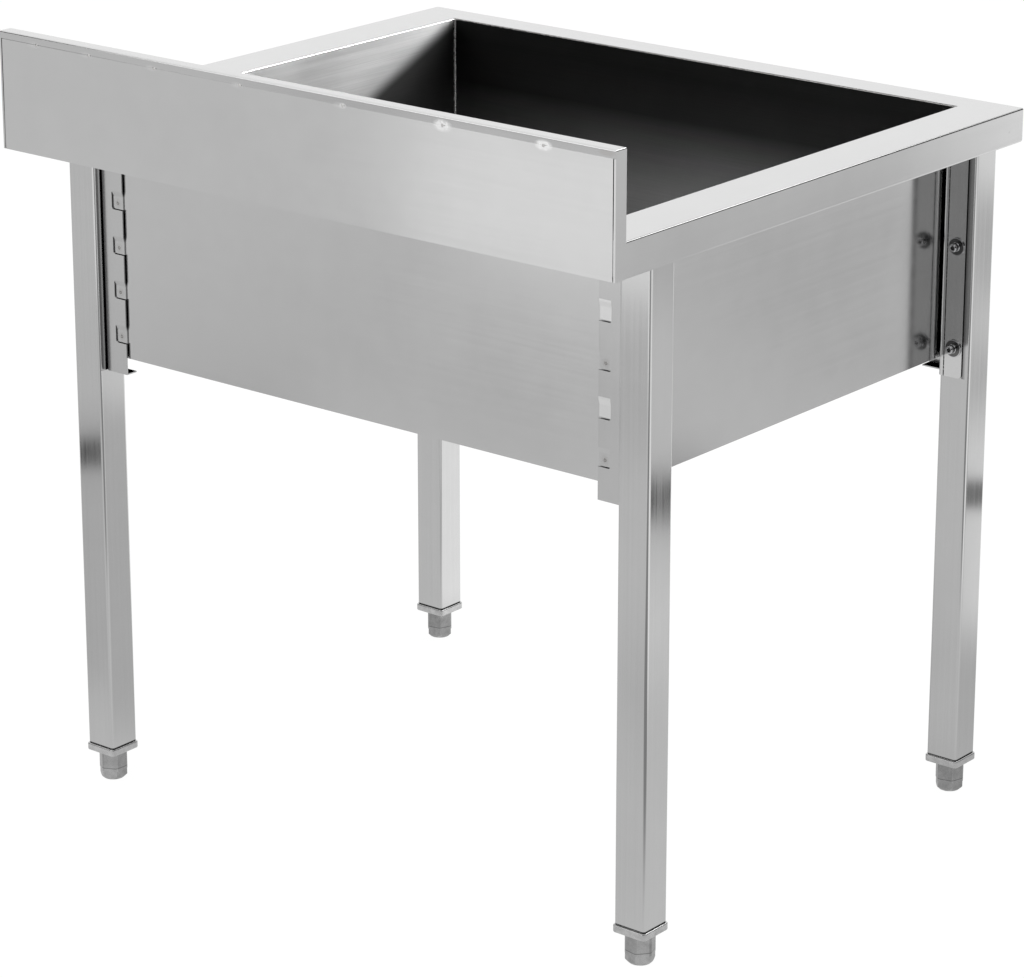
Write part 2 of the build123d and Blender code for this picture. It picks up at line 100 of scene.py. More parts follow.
def share(name, description, default):
    """A number from 0 to 1."""
    return FloatProperty(
        name=name, description=description, default=default, min=0.0, max=1.0, subtype="FACTOR"
    )


def colour(name, description, default):
    """A colour a user can pick."""
    return FloatVectorProperty(
        name=name, description=description, default=default, min=0.0, max=1.0, size=3, subtype="COLOR"
    )


class SinkSheetSettings(PropertyGroup):
    """Colour and finish of the steel sheet and tube."""

    rim: colour("Rim", "Sheet of the rim and upstand", (0.67, 0.67, 0.67))
    bowl_outside: colour("Bowl outside", "Plain outer side of the bowl's walls", (0.65, 0.65, 0.65))
    # the inner side of the front and back walls is painted dark: a painted shade on the same steel as the
    # end walls
    bowl_painted_shade: colour("Bowl inside, dark", "Inner side of the front and back walls", (0.055, 0.055, 0.055))
    bowl_light: colour("Bowl inside, light", "Inner side of the end walls and floor", (0.62, 0.62, 0.62))
    leg: colour("Legs", "Satin square tube", (0.63, 0.63, 0.63))
    # the legs' faces that look along X are painted this much brighter than the others: painted light
    leg_sides: FloatProperty(
        name="Leg ends", description="How much brighter the legs' end faces are", default=1.04, min=0.0
    )
    bracket: colour("Brackets", "Plain sheet of the leg brackets", (0.62, 0.62, 0.62))
    # also the painted highlight on two of the back left bracket's tabs
    ground: colour("Ground steel", "Bright steel where a weld was ground off", (0.86, 0.86, 0.86))
    weld: colour("Welds", "Cleaned weld metal", (0.72, 0.71, 0.70))
    heat: colour("Heat mark", "Tint left round a weld", (0.42, 0.41, 0.40))
    rim_roughness: share("Rim roughness", "How much the rim blurs what it mirrors", 0.15)
    bowl_roughness: share("Bowl roughness", "How much the bowl blurs what it mirrors", 0.16)
    inside_roughness: share("Inside roughness", "How much the bowl's inside blurs what it mirrors", 0.38)
    leg_roughness: share("Leg roughness", "How much the tube blurs what it mirrors", 0.12)
    bracket_roughness: share("Bracket roughness", "How much the brackets blur what they mirror", 0.2)
    grain_width: length("Grain width", "Width of one brushed line", 0.0006)
    grain_length: length("Grain length", "Length of one brushed line", 0.12)
    grain_depth: length("Grain depth", "Depth of the brushed lines", 0.0000003)
    grain_tone: share("Grain tone", "How much lighter and darker the lines are", 0.005)
    cloud_tone: share("Cloud tone", "How much lighter and darker the clouds are", 0.025)
    wave_height: length("Waviness", "How far the flat sheets wander from flat", 0.0004)


class SinkFittingSettings(PropertyGroup):
    """Colour of the fasteners, feet and waste."""

    fastener: colour("Fasteners", "Screws, spring washers and studs", (0.66, 0.66, 0.67))
    # the flat washers and nuts are painted dark, a painted reflection of the dark flange round them
    washer: colour("Washers", "Flat washers and nuts", (0.16, 0.16, 0.16))
    foot: colour("Feet", "Matt cast metal", (0.39, 0.39, 0.39))
    plug: colour("Plugs", "Cast metal, rubbed bright", (0.62, 0.62, 0.62))
    waste: colour("Waste", "Polished waste fitting", (0.74, 0.74, 0.75))
    rubber: colour("Seals", "Black rubber", (0.025, 0.025, 0.025))


class SinkScrewSettings(PropertyGroup):
    """Sizes of the leg screws and their washers."""

    shank: length("Shank radius", "Radius of the screw's thread", 0.003)
    head: length("Head radius", "Radius of the socket head", 0.005)
    head_height: length("Head height", "Height of the socket head", 0.0072)
    socket: length("Socket", "Distance across the flats of the socket", 0.005)
    socket_depth: length("Socket depth", "Depth of the socket", 0.003)
    knurl: length("Knurl depth", "Depth of the ridges round the head", 0.00018)
    knurls: IntProperty(name="Knurls", description="Ridges round the head", default=36, min=6)
    washer: length("Washer", "Thickness of the flat washer", 0.0016)
    # beyond this radius the flat washer is painted brighter, a painted highlight on its edge
    washer_highlight_edge: length("Washer edge", "Radius at which the flat washer's rubbed edge starts", 0.0100)
    spring: length("Spring washer", "Thickness of the split spring washer", 0.0016)
    spring_radius: length("Spring washer radius", "Outer radius of the split washer", 0.0056)
    spring_gap: FloatProperty(
        name="Split", description="Width of the washer's split", default=math.radians(14),
        min=0.0, subtype="ANGLE",
    )
    below: length("Length below", "Screw length below the bracket's face", 0.009)
    pitch: length("Screw thread pitch", "Pitch of the leg screws' thread", 0.001)


class SinkThreadSettings(PropertyGroup):
    """Sizes of the threads on the foot studs and the waste."""

    stud_pitch: length("Stud pitch", "Pitch of the foot stud's thread", 0.0015)
    stud_depth: length("Stud thread depth", "Depth of the foot stud's thread", 0.0009)
    tail_pitch: length("Tail pitch", "Pitch of the waste tail's thread", 0.002309)
    tail_depth: length("Tail thread depth", "Depth of the waste tail's thread", 0.0014)


class SinkWeldSettings(PropertyGroup):
    """Sizes of the welds."""

    bead: length("Corner bead", "Width of the bead in the bowl's corners", 0.0022)
    mouth: length("Mouth weld", "Radius of the dressed weld round the bowl's mouth", 0.0007)
    ripple_pitch: length("Ripple pitch", "Distance from one weld ripple to the next", 0.003)
    tack: length("Tack radius", "Radius of the tacks on the upstand's seam", 0.0022)
    tack_height: length("Tack height", "How far a tack stands proud", 0.0005)
    spot: length("Spot radius", "Radius of the spot welds on the brackets", 0.0019)
    spot_depth: length("Spot height", "Height of the ring round a spot weld", 0.00025)


class SinkStageSettings(PropertyGroup):
    """Camera, floor and light."""

    camera_place: FloatVectorProperty(
        name="Camera place", description="Where the camera stands", size=3, unit="LENGTH",
        default=(-2.7991, 3.4294, 1.9173),
    )
    camera_azimuth: FloatProperty(
        name="Azimuth", description="Direction the camera looks in, turned from -Y towards +X",
        default=math.radians(39.275), subtype="ANGLE",
    )
    camera_elevation: FloatProperty(
        name="Elevation", description="How far the camera looks down",
        default=math.radians(17.536), subtype="ANGLE",
    )
    focal_length: FloatProperty(
        name="Focal length", description="On a 36 mm wide sensor, in millimetres", default=137.06
    )
    shift: FloatProperty(name="Shift", description="Rise of the lens, in frame widths", default=-0.10)
    floor: colour("Floor", "Pale floor", (0.86, 0.86, 0.86))
    floor_mirrored: share("Floor in the steel", "Brightness of the floor as the steel mirrors it", 0.70)
    box_light: FloatProperty(
        name="Overhead light", description="Soft box over the sink, in watts", default=38.0,
        min=0.0, unit="POWER",
    )
    strip_light: FloatProperty(
        name="Strip light", description="Narrow box that lights the folds, in watts", default=10.0,
        min=0.0, unit="POWER",
    )


# ---- surfaces worked out as whole arrays ----


def circle(count, start=0.0):
    """Angles of count equal steps round a circle."""
    return start + np.linspace(0, 2 * math.pi, count, endpoint=False)


def lathe(radius, height, angles):
    """Grid of a turned shape: radius and height along the profile, one column for each angle.

    A point is (r cos a, r sin a, h). radius may also be a table of profile by angle."""
    radius = np.asarray(radius, float)
    if radius.ndim == 1:
        radius = radius[:, None] * np.ones(len(angles))
    height = np.asarray(height, float)
    if height.ndim == 1:
        height = height[:, None] * np.ones(len(angles))
    return np.stack([radius * np.cos(angles), radius * np.sin(angles), height], -1)


def rows_of(radii, angles):
    """Table of profile by angle from rows that are each one radius, or one for each angle."""
    return np.stack([radius + 0 * angles for radius in radii])


def polygon_radius(angles, across, sides=6):
    """Distance from the centre to the side of a regular polygon, in the direction of each angle."""
    step = 2 * math.pi / sides
    off = (angles + step / 2) % step - step / 2
    return across / 2 / np.cos(off)


def thread_radius(height, angles, outer, depth, pitch, first, last):
    """Radius of a V thread: outer less depth times how far the point is from the crest.

    The crest's height grows by one pitch a turn, and the thread fades out over a pitch at both ends."""
    phase = (height[:, None] / pitch - angles / (2 * math.pi)) % 1.0
    groove = np.clip(1.25 - 2.5 * np.abs(phase - 0.5), 0.0, 1.0)
    fade = np.clip((height - first) / pitch, 0, 1) * np.clip((last - height) / pitch, 0, 1)
    return outer - depth * groove * fade[:, None]


def carry(profile, origins, first, second, size=None):
    """Grid of a profile carried along a path: origin + first * u + second * v at each step.

    profile is (u, v) pairs, origins has one point a step, and size scales the profile at each step."""
    size = np.ones(len(origins)) if size is None else size
    u = profile[:, 0][None, :, None] * size[:, None, None]
    v = profile[:, 1][None, :, None] * size[:, None, None]
    first = np.broadcast_to(first, origins.shape)[:, None, :]
    second = np.broadcast_to(second, origins.shape)[:, None, :]
    return origins[:, None, :] + u * first + v * second


def place(grid, origin, x_axis, z_axis):
    """The same grid at another place: its X along x_axis and its Z along z_axis."""
    x_axis = np.asarray(x_axis, float)
    z_axis = np.asarray(z_axis, float)
    turn = np.stack([x_axis, np.cross(z_axis, x_axis), z_axis])
    return np.asarray(origin, float) + grid @ turn


def add_object(name, data):
    """A new object of some data, linked to the scene."""
    made = bpy.data.objects.new(name, data)
    bpy.context.scene.collection.objects.link(made)
    return made


def piece(name, grids, material, body, replaced=(), sharp=35.0, open_ends=False):
    """One mesh from grids of points, each closed round its second direction.

    Each grid's ends are closed by a fan to their middle. Doubles are merged and faces turned outwards."""
    points, faces = [], []
    count = 0
    for grid in grids:
        if not open_ends:
            first, last = (row.mean(1, keepdims=True) + 0 * row for row in (grid[:1], grid[-1:]))
            grid = np.concatenate([first, grid, last])
        rows, columns = grid.shape[:2]
        number = count + np.arange(rows * columns).reshape(rows, columns)
        across = np.roll(number, -1, axis=1)
        faces.append(
            np.stack([number[:-1], across[:-1], across[1:], number[1:]], -1).reshape(-1, 4)
        )
        points.append(grid.reshape(-1, 3))
        count += rows * columns
    points = np.concatenate(points)
    faces = np.concatenate(faces)
    mesh = bpy.data.meshes.new(name)
    mesh.vertices.add(len(points))
    mesh.vertices.foreach_set("co", points.astype(np.float32).ravel())
    mesh.loops.add(faces.size)
    mesh.loops.foreach_set("vertex_index", faces.astype(np.int32).ravel())
    mesh.polygons.add(len(faces))
    mesh.polygons.foreach_set("loop_start", np.arange(0, faces.size, 4, dtype=np.int32))
    mesh.update(calc_edges=True)
    work = bmesh.new()
    work.from_mesh(mesh)
    bmesh.ops.remove_doubles(work, verts=work.verts, dist=2e-7)
    bmesh.ops.dissolve_degenerate(work, edges=work.edges, dist=1e-8)
    bmesh.ops.recalc_face_normals(work, faces=work.faces)
    work.to_mesh(mesh)
    work.free()
    mesh.polygons.foreach_set("use_smooth", np.ones(len(mesh.polygons), bool))
    mesh.set_sharp_from_angle(angle=math.radians(sharp))
    mesh.materials.append(material)
    made = add_object(name, mesh)
    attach(made, body)
    if replaced:
        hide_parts(*replaced)
    return made


# ---- materials ----


def add_node(tree, kind, inputs=(), **settings):
    """A shader node. Values given as inputs are linked, numbers are set on the node's own sockets."""
    made = tree.nodes.new("ShaderNode" + kind)
    for key, value in settings.items():
        setattr(made, key, value)
    for key, value in dict(inputs).items():
        if isinstance(value, Value):
            tree.links.new(value.socket, made.inputs[key])
        else:
            made.inputs[key].default_value = value
    return made


def result(tree, kind, inputs=(), output=0, **settings):
    """What one output of a new shader node gives."""
    return Value(add_node(tree, kind, inputs, **settings).outputs[output])


class Value:
    """A number, colour or vector worked out over a surface, so that its formula reads as a plain sum."""

    def __init__(self, socket):
        self.socket = socket
        self.tree = socket.id_data

    def sum(self, operation, *others, clamp=False):
        """One sum that starts from this number."""
        inputs = dict(enumerate((self, *others)))
        return result(self.tree, "Math", inputs, operation=operation, use_clamp=clamp)

    def vector_sum(self, operation, *others, output=0):
        """One sum that starts from this vector."""
        inputs = dict(enumerate((self, *others)))
        return result(self.tree, "VectorMath", inputs, output, operation=operation)

    def __add__(self, other):
        return self.sum("ADD", other)

    def __sub__(self, other):
        return self.sum("SUBTRACT", other)

    def __mul__(self, other):
        return self.sum("MULTIPLY", other)

    def __abs__(self):
        return self.sum("ABSOLUTE")

    def __gt__(self, other):
        return self.sum("GREATER_THAN", other)

    def __lt__(self, other):
        return self.sum("LESS_THAN", other)

    def length(self):
        """How long this vector is."""
        return self.vector_sum("LENGTH", output="Value")

    def axes(self):
        """The three numbers of this vector."""
        return [Value(part) for part in add_node(self.tree, "SeparateXYZ", {0: self}).outputs]

    def spread(self, low, high, start=0.0, end=1.0, smooth=False):
        """This number from start to end brought to low to high."""
        inputs = {"Value": self, "From Min": start, "From Max": end, "To Min": low, "To Max": high}
        kind = "SMOOTHSTEP" if smooth else "LINEAR"
        return result(self.tree, "MapRange", inputs, interpolation_type=kind)

    def swing(self, size):
        """This noise brought to between -size and size."""
        return self.spread(-size, size, *NOISE)

    def choose(self, first, second):
        """The number first where this one is 0, and second where it is 1."""
        return result(self.tree, "Mix", {0: self, 2: first, 3: second}, data_type="FLOAT")


def tree_of(*values):
    """The tree of the first Value among some values."""
    return next(value.tree for value in values if isinstance(value, Value))


def vector(x=0.0, y=0.0, z=0.0):
    """A vector from three numbers."""
    return result(tree_of(x, y, z), "CombineXYZ", {0: x, 1: y, 2: z})


def noise(where, scale, detail=2.0, roughness=0.5):
    """Soft noise, about 0 to 1."""
    inputs = {"Vector": where, "Scale": scale, "Detail": detail, "Roughness": roughness}
    return result(where.tree, "TexNoise", inputs)


def streaks(where, along, width, length):
    """Noise drawn out along one axis: width across the lines, length along them."""
    scale = [1 / width] * 3
    scale["XYZ".index(along)] = 1 / length
    return noise(result(where.tree, "Mapping", {"Vector": where, "Scale": scale}), 1.0, 3.0, 0.6)


def mix_colour(factor, first, second, blend="MIX"):
    """Two colours mixed by factor."""
    first, second = (c if isinstance(c, Value) else (*c, 1.0) for c in (first, second))
    inputs = {0: factor, 6: first, 7: second}
    return result(tree_of(factor, first, second), "Mix", inputs, 2, data_type="RGBA", blend_type=blend)


def shaded(paint, tone):
    """A colour made lighter or darker by a number."""
    grey = (tone, tone, tone)
    if isinstance(tone, Value):
        grey = result(tone.tree, "CombineColor", dict(enumerate(grey)))
    return mix_colour(1.0, paint, grey, "MULTIPLY")


def facing(normal, axis, sign, least=0.5):
    """1 where a surface looks along an axis, 0 elsewhere. Sign 0 takes both directions."""
    part = normal.axes()["XYZ".index(axis)]
    return (part * sign if sign else abs(part)) > least


def spot(where, middle, size, soft=0.4):
    """1 in an oval round a place, falling to 0 at its edge. size has one half width for each axis."""
    away = where.vector_sum("SUBTRACT", middle)
    away = away.vector_sum("MULTIPLY", [1 / half for half in size]).length()
    return away.spread(1.0, 0.0, 1.0 - soft, 1.0, smooth=True)


def relief(height, depth, **under):
    """Bumps of a depth in metres that follow a pattern. Normal may name the bumps under them."""
    return result(height.tree, "Bump", {"Strength": 1.0, "Distance": depth, "Height": height, **under})


def show(shader):
    """Make a shader the one that its material shows."""
    tree = shader.id_data
    output = next(node for node in tree.nodes if node.type == "OUTPUT_MATERIAL")
    tree.links.new(shader.outputs[0], output.inputs[0])


def blank(name):
    """An empty material, its surface shader, and where a point is on the piece and which way it looks."""
    material = bpy.data.materials.new(name)
    material.use_nodes = True
    tree = material.node_tree
    tree.nodes.clear()
    add_node(tree, "OutputMaterial")
    shader = add_node(tree, "BsdfPrincipled")
    show(shader)
    source = add_node(tree, "TexCoord").outputs
    return material, shader, Value(source["Object"]), Value(source["Normal"])


def coat(shader, paint, roughness, bumps, metallic=1.0):
    """Give a surface its colour, roughness and bumps, each of them a pattern."""
    for name, pattern in (("Base Color", paint), ("Roughness", roughness), ("Normal", bumps)):
        shader.id_data.links.new(pattern.socket, shader.inputs[name])
    shader.inputs["Metallic"].default_value = metallic


def sheet_steel(name, base, roughness, sheet, along="X", ends="", inside=None, marks=None,
                streak=(0.004, 0.35, 0.006), spread_across=0.3):
    """Stainless sheet or tube: faint lines along its grain, soft clouds, small specks, slow waves.

    ends is the axis whose faces carry their grain along Y. inside is (axis, sign, colour, roughness)
    for the side of a sheet that looks that way. streak is the width, length and tone of the broad
    streaks. marks(where, normal, paint) adds what welding and grinding left, and painted light and
    shade. The shine is spread more across the grain than along it."""
    material, shader, where, normal = blank(name)
    grain = sheet.grain_width, sheet.grain_length
    *streak_size, streak_tone = streak
    lines = streaks(where, along, *grain)
    wide = streaks(where, along, *streak_size)
    run = [float(axis == along) for axis in "XYZ"]
    if ends:
        turned = facing(normal, ends, 0)
        lines = turned.choose(lines, streaks(where, "Y", *grain))
        wide = turned.choose(wide, streaks(where, "Y", *streak_size))
        run = vector(turned < 0.5, turned)
    cloud = noise(where, 6.0, 4.0, 0.6)
    blotch = noise(where, 31.0, 4.0, 0.6)
    paint, fine = base, lines.swing(sheet.grain_tone)
    rough = cloud.swing(0.03) + roughness
    if inside:
        axis, sign, inner, inner_roughness = inside
        side = facing(normal, axis, sign)
        paint = mix_colour(side, base, inner)
        rough = cloud.swing(0.03) + side.spread(roughness, inner_roughness)
        # the inside shows its grain more
        fine = fine * side.spread(1.0, 16.0)
    tone = fine + 1.0 + wide.swing(streak_tone)
    tone = tone + cloud.swing(sheet.cloud_tone) + blotch.swing(0.4 * sheet.cloud_tone)
    paint = shaded(paint, tone)
    # specks: the middle of some cells of a coarse cell pattern
    cells = add_node(where.tree, "TexVoronoi", {"Vector": where, "Scale": 16.0, "Randomness": 1.0}).outputs
    few = Value(cells["Color"]).axes()[0] > 0.55
    near = Value(cells["Distance"]).spread(0.55, 0.0, 0.008, 0.02)
    paint = mix_colour(few * near, paint, (0.12, 0.12, 0.12))
    if marks:
        paint = marks(where, normal, paint)
    wave = relief(noise(where, 4.0, 1.0, 0.4), sheet.wave_height)
    coat(shader, paint, rough + wide.swing(0.02), relief(lines, sheet.grain_depth, Normal=wave))
    shader.inputs["Anisotropic"].default_value = spread_across
    across = normal.vector_sum("CROSS_PRODUCT", run)
    where.tree.links.new(across.socket, shader.inputs["Tangent"])
    return material


def cast_metal(name, colour, dark_above=None, uneven=0.0, step_height=None):
    """Matt cast metal: a fine skin of grains and pits, a little patchy in tone.

    uneven is how much its flats differ in tone, a painted shade that follows the way each flat
    faces, and step_height is where its lower flats end, under a painted shadow. Above dark_above it
    lies in a seam's shade."""
    material, shader, where, normal = blank(name)
    grains = noise(where, 1400.0, 3.0, 0.7)
    # painted shade: each flat's tone follows the way it faces
    flats = noise(normal, 3.1, 0.0)
    patches = noise(where, 90.0, 4.0, 0.6)
    paint = shaded(colour, patches.swing(0.18) + grains.swing(0.08) + 1.0 + flats.swing(uneven))
    z = where.axes()[2]
    if step_height:
        # a painted shadow line along the lower flats' upper edge, and the flats below painted a little
        # lighter
        away = z - step_height
        line = abs(away).spread(0.55, 0.0, 0.0003, 0.0007)
        paint = mix_colour(line, paint, (0.05, 0.05, 0.05))
        paint = shaded(paint, away.spread(1.1, 1.0, -0.0002, 0.0002))
    if dark_above:
        seam = z.spread(0.0, 1.0, dark_above, dark_above + 0.0002)
        paint = mix_colour(seam, paint, (0.02, 0.02, 0.02))
    coat(shader, paint, patches.spread(0.2, 0.3, *NOISE), relief(grains, 0.00001))
    return material


def turned_metal(name, colour, roughness, rings=2500.0, centre=(0, 0, 0), marks=None):
    """Bright turned metal: fine rings round the piece's axis, and faint handling marks."""
    material, shader, where, normal = blank(name)
    shift = [-distance for distance in centre]
    x, y, z = result(where.tree, "Mapping", {"Vector": where, "Location": shift}).axes()
    path = vector(x, y).length() + z
    inputs = {"W": path, "Scale": rings, "Detail": 2.0}
    line = result(where.tree, "TexNoise", inputs, noise_dimensions="1D")
    wear = noise(where, 160.0, 4.0, 0.7)
    paint = shaded(colour, wear.spread(0.92, 1.04, *NOISE) + line.swing(0.05))
    if marks:
        paint = marks(where, normal, paint)
    coat(shader, paint, wear.spread(-0.06, 0.08, *NOISE) + roughness, relief(line, 0.000003))
    return material


def fastener_steel(fitting):
    """The bright steel that the screws, split washers and studs share."""
    found = bpy.data.materials.get("bright_screw")
    return found or turned_metal("bright_screw", fitting.fastener, 0.14, 1800.0)


def glow(tree, brightness):
    """Plain white light given off by a surface."""
    return result(tree, "Emission", {"Color": (1, 1, 1, 1), "Strength": brightness})


def rubber(name, colour):
    """Black rubber with a dusty bloom."""
    material, shader, where, _ = blank(name)
    bloom = noise(where, 120.0, 5.0, 0.7)
    paint = mix_colour(bloom.spread(0.0, 0.35, 0.4, 0.8), colour, (0.16, 0.16, 0.16))
    coat(shader, paint, bloom.spread(0.55, 0.8, *NOISE), relief(bloom, 0.00003), metallic=0.0)
    return material


def dress(material, *nodes):
    """Give CAD nodes a material in every slot."""
    for name in nodes:
        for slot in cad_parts[name].material_slots:
            slot.material = material


# ---- painters of marks and of painted light and shade: each gives a function of place, normal and paint ----


def seam_marks_and_painted_light(sheet, on_rim):
    """Marks painter for the upstand: bright ground patches on its seam, and on the rim a painted shade on
    the hem and the end folds and a painted highlight on the upstand's fold.
    """
    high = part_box("rim_top")[1]
    back, top, seam = high.y, high.z, seam_height()

    def paint_marks(where, normal, paint):
        x, _, z = where.axes()
        if on_rim:
            # the hem under the upstand's fold is painted darker than the rim, a painted reflection that
            # lightens towards its right end
            hem = (z > seam) * facing(normal, "Y", 1, 0.9)
            paint = mix_colour(hem, paint, shaded(sheet.rim, x.spread(0.70, 0.95, -0.25, 0.12)))
        ragged = noise(where, 260.0, 3.0, 0.6).spread(0.55, 1.5, *NOISE)
        for middle, wide, tall in ((-0.219, 0.015, 0.008), (-0.3554, 0.014, 0.007), (-0.079, 0.006, 0.004)):
            patch = spot(where, (middle, back, seam), (wide, 0.05, tall), 0.6)
            paint = mix_colour(patch.sum("MULTIPLY", ragged, clamp=True), paint, sheet.ground)
        for tack in TACKS[:5]:
            patch = spot(where, (tack + 0.004, back, seam), (0.013, 0.05, 0.005), 0.9)
            paint = mix_colour(patch * 0.35, paint, sheet.ground)
        if on_rim:
            patch = spot(where, (-0.438, back, top - 0.0045), (0.013, 0.05, 0.0045), 0.5)
            paint = mix_colour(patch * 0.6, paint, sheet.heat)
            # the folds at the rim's ends are painted darker, a painted shade
            end_fold_shade = facing(normal, "X", 0, 0.25) * facing(normal, "Z", 1, 0.25) * (z < 0.9)
            paint = mix_colour(end_fold_shade * 0.6, paint, (0.2, 0.2, 0.2))
            # the fold above the hem is painted bright, a painted highlight
            fold = (z > top - 0.0015) * (normal.axes()[2] < 0.97) * facing(normal, "Y", 0, 0.2)
            paint = mix_colour(fold * 0.85, paint, (0.95, 0.95, 0.95))
        return paint

    return paint_marks


def bracket_marks_and_painted_light(sheet, tab_x, heights):
    """Marks painter for the brackets: a heat tint round each spot weld and a scored bend line, with a
    painted highlight on two tabs and the bolt flange and a painted shade in the groove at the bend.
    """
    leg_inner = -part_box("leg_back_left")[1].x

    def paint_marks(where, normal, paint):
        x, y, z = where.axes()
        mirrored = abs(x)
        flat = vector(mirrored, z=z)
        uneven = noise(where, 300.0, 3.0, 0.6).spread(0.4, 1.3, *NOISE)
        for height in heights:
            tint = spot(flat, (tab_x, 0, height), (0.007, 1.0, 0.008), 0.9) * uneven
            paint = mix_colour(tint.sum("MULTIPLY", 0.4, clamp=True), paint, sheet.heat)
        # two tabs of the back left bracket are painted bright, a painted highlight
        corner = (y > 0.0) * (x < 0.0)
        for height in heights[1::2]:
            tall = abs(z - (height + 0.0052)).spread(1.0, 0.0, 0.0112, 0.0118)
            wide = abs(mirrored - (tab_x - 0.0003)).spread(1.0, 0.0, 0.0078, 0.0084)
            paint = mix_colour(tall * wide * corner, paint, sheet.ground)
        # the bolt flange is painted a little brighter than the rest, painted light
        paint = shaded(paint, mirrored.spread(1.0, 1.25, leg_inner + 0.0002, leg_inner + 0.0006))
        # a scored line beside the bend of the bolt flange, broken into dashes
        line = abs(mirrored - (leg_inner + 0.0062)) < 0.0008
        dash = noise(vector(z=z), 420.0, 2.0).spread(0.35, 1.0, 0.38, 0.5)
        paint = mix_colour(line * dash, paint, (0.05, 0.05, 0.05))
        # painted shade in the groove where the web's bend meets the leg
        groove = mirrored.spread(0.0, 1.0, leg_inner - 0.0011, leg_inner - 0.0004)
        sideways = abs(normal.axes()[1]).spread(1.0, 0.0, 0.75, 0.95)
        return mix_colour(groove * sideways, paint, (0.015, 0.015, 0.015))

    return paint_marks


def end_wall_reflection(inner_face, front, top):
    """Painter for the bowl's end walls: a painted reflection, bright above a slanting line from the front
    corner.

    The line starts at the top of the front corner and falls by 0.44 of its run to the back.
    inner_face is how far the walls' inner faces are from the middle."""

    def paint_marks(where, _, paint):
        x, y, z = where.axes()
        inner = abs(x) < inner_face + 0.0003
        over = y * 0.44 - (0.44 * front + top) + z
        # painted reflection: lighter above the slanting line, much darker below it
        step = over.spread(0.12, 1.0, -0.014, 0.012, smooth=True)
        return shaded(paint, inner.choose(1.0, step * over.spread(1.5, 1.05, 0.0, 0.1)))

    return paint_marks


def long_wall_shade(low, middle, high):
    """Painter for the bowl's front and back walls, inside: a painted shade, darker from low to middle to
    high.
    """

    def paint_marks(where, normal, paint):
        _, y, z = where.axes()
        inner = y * normal.axes()[1] < -0.1
        tone = z.spread(9.0, 1.0, low, middle) * z.spread(1.0, 0.55, middle, high)
        return shaded(paint, inner.choose(1.0, tone))

    return paint_marks


def leg_shading(sheet, leg, bracket):
    """Painter for the legs: a painted shade beside the brackets and over the plugs, and end faces
    painted brighter as painted light.

    leg and bracket are the boxes of the back left ones, which the others mirror."""
    inner_edge, foot = -leg[1].x, leg[0].z
    flange_edge, bracket_foot = -bracket[0].x, bracket[0].z
    flange_back = leg[1].y - FLANGE_SETBACK

    def paint_marks(where, normal, paint):
        x, y, z = where.axes()
        mirrored = abs(x)
        # painted light: the faces that look along X are painted brighter
        paint = mix_colour(facing(normal, "X", 0, 0.7), paint, shaded(paint, sheet.leg_sides))
        # only the last of a back leg's side is black, the rest of it is in half shade
        covered = z > bracket_foot
        groove = mirrored.spread(1.0, 0.0, inner_edge + 0.0002, inner_edge + 0.0006) * covered
        paint = mix_colour(groove * 0.35, paint, (0.02, 0.02, 0.02))
        groove = groove * y.spread(1.0, 0.0, flange_back + 0.0007, flange_back + 0.0013)
        # the face that the bracket is bolted to looks towards the middle
        bolted = y * normal.axes()[1] < -0.2
        # painted shade beside the edge of the bolt flange, on the face it is bolted to
        beside = mirrored.spread(0.0, 1.0, flange_edge - 0.001, flange_edge)
        beside = beside * mirrored.spread(0.6, 0.0, flange_edge + 0.0012, flange_edge + 0.005)
        # painted shade along the seam over the plug
        seam = z.spread(1.0, 0.0, foot + 0.0006, foot + 0.0012)
        dark = groove.sum("MAXIMUM", beside * covered * bolted).sum("MAXIMUM", seam)
        return mix_colour(dark, paint, (0.02, 0.02, 0.02))

    return paint_marks


def washer_highlight(screw, radius, colour):
    """Painter for the washers: a painted highlight beyond a radius from their screws.
    screw is one's place.
    """

    def paint_marks(where, _, paint):
        x, _, z = where.axes()
        across = abs(x) - abs(screw[0])
        up = z - screw[2]
        up = up - (up + SCREW_PITCH / 2).sum("SNAP", SCREW_PITCH)
        # painted highlight on the washer's edge
        rubbed = vector(across, up).length().spread(0.0, 1.0, radius - 0.0002, radius)
        return mix_colour(rubbed, paint, colour)

    return paint_marks


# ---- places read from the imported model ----


def seam_height():
    """Height of the seam under the upstand's hem."""
    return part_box("upstand_cover")[1].z - SEAM_DROP


def leg_sides(corner):
    """Which side of the middle a corner is on along X and Y."""
    return (1 if "right" in corner else -1), (1 if "back" in corner else -1)


def leg_face(corner):
    """The outer Y face of a leg, the one its bracket's welded flange stands back from."""
    low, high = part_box(f"leg_{corner}")
    return high.y if "back" in corner else low.y


def bracket_middle():
    """Height of the brackets' middle."""
    low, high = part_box("bracket_back_left")
    return (low.z + high.z) / 2


